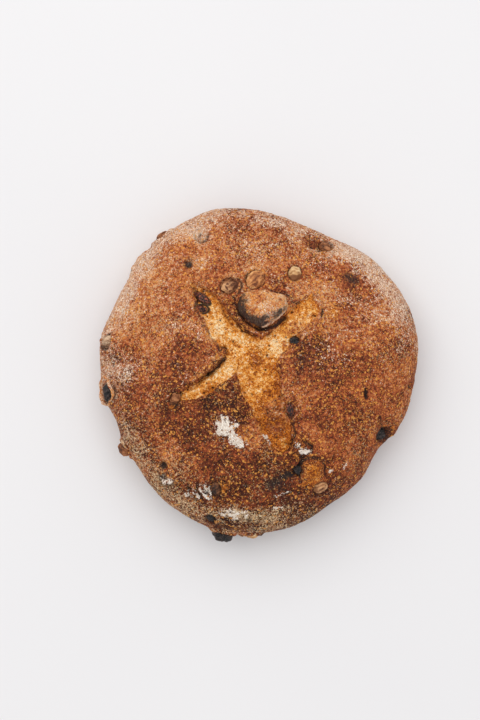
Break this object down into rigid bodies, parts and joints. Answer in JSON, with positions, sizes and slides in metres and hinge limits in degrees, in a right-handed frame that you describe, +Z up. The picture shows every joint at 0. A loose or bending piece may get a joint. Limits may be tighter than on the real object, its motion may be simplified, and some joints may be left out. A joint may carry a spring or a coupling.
{
  "type": "country bread",
  "caption": "Round hand-shaped country loaf with a crossed slash opened over orange crumb, a curled burnt corner of crust, and hazelnuts and raisins showing in its floury brown crust",
  "frame": {"origin": "middle of the loaf's box, on the surface that the flat foot stands on", "axes": "+Z up, from the foot to the crown; +Y towards the curled corner of crust; +X to its right as seen from above"},
  "size_m": [0.2061, 0.2153, 0.0727],
  "materials": {
    "crust": "baked bread crust, speckled brown with flour and golden crumb in the cuts",
    "hazelnut": "roasted hazelnut kernel, dry and slightly ridged",
    "raisin": "dark wrinkled raisin with a faint shine"
  },
  "bodies": {
    "root": {"loaf": "crust", "hazelnut_left": "hazelnut", "hazelnut_middle": "hazelnut", "hazelnut_right": "hazelnut", "hazelnut_hollow": "hazelnut", "hazelnut_slit": "hazelnut", "hazelnut_low": "hazelnut", "hazelnut_lower_right": "hazelnut", "hazelnut_rim_lower_left": "hazelnut", "hazelnut_rim_left": "hazelnut", "hazelnut_rim_upper_left": "hazelnut", "hazelnut_rim_bottom": "hazelnut", "raisin_cut_upper": "raisin", "raisin_cut_lower": "raisin", "raisin_upper_left": "raisin", "raisin_small": "raisin", "raisin_right": "raisin", "raisin_crack": "raisin", "raisin_low": "raisin", "raisin_rim_left": "raisin", "raisin_rim_right": "raisin", "raisin_rim_bottom": "raisin"}
  },
  "joints": []
}
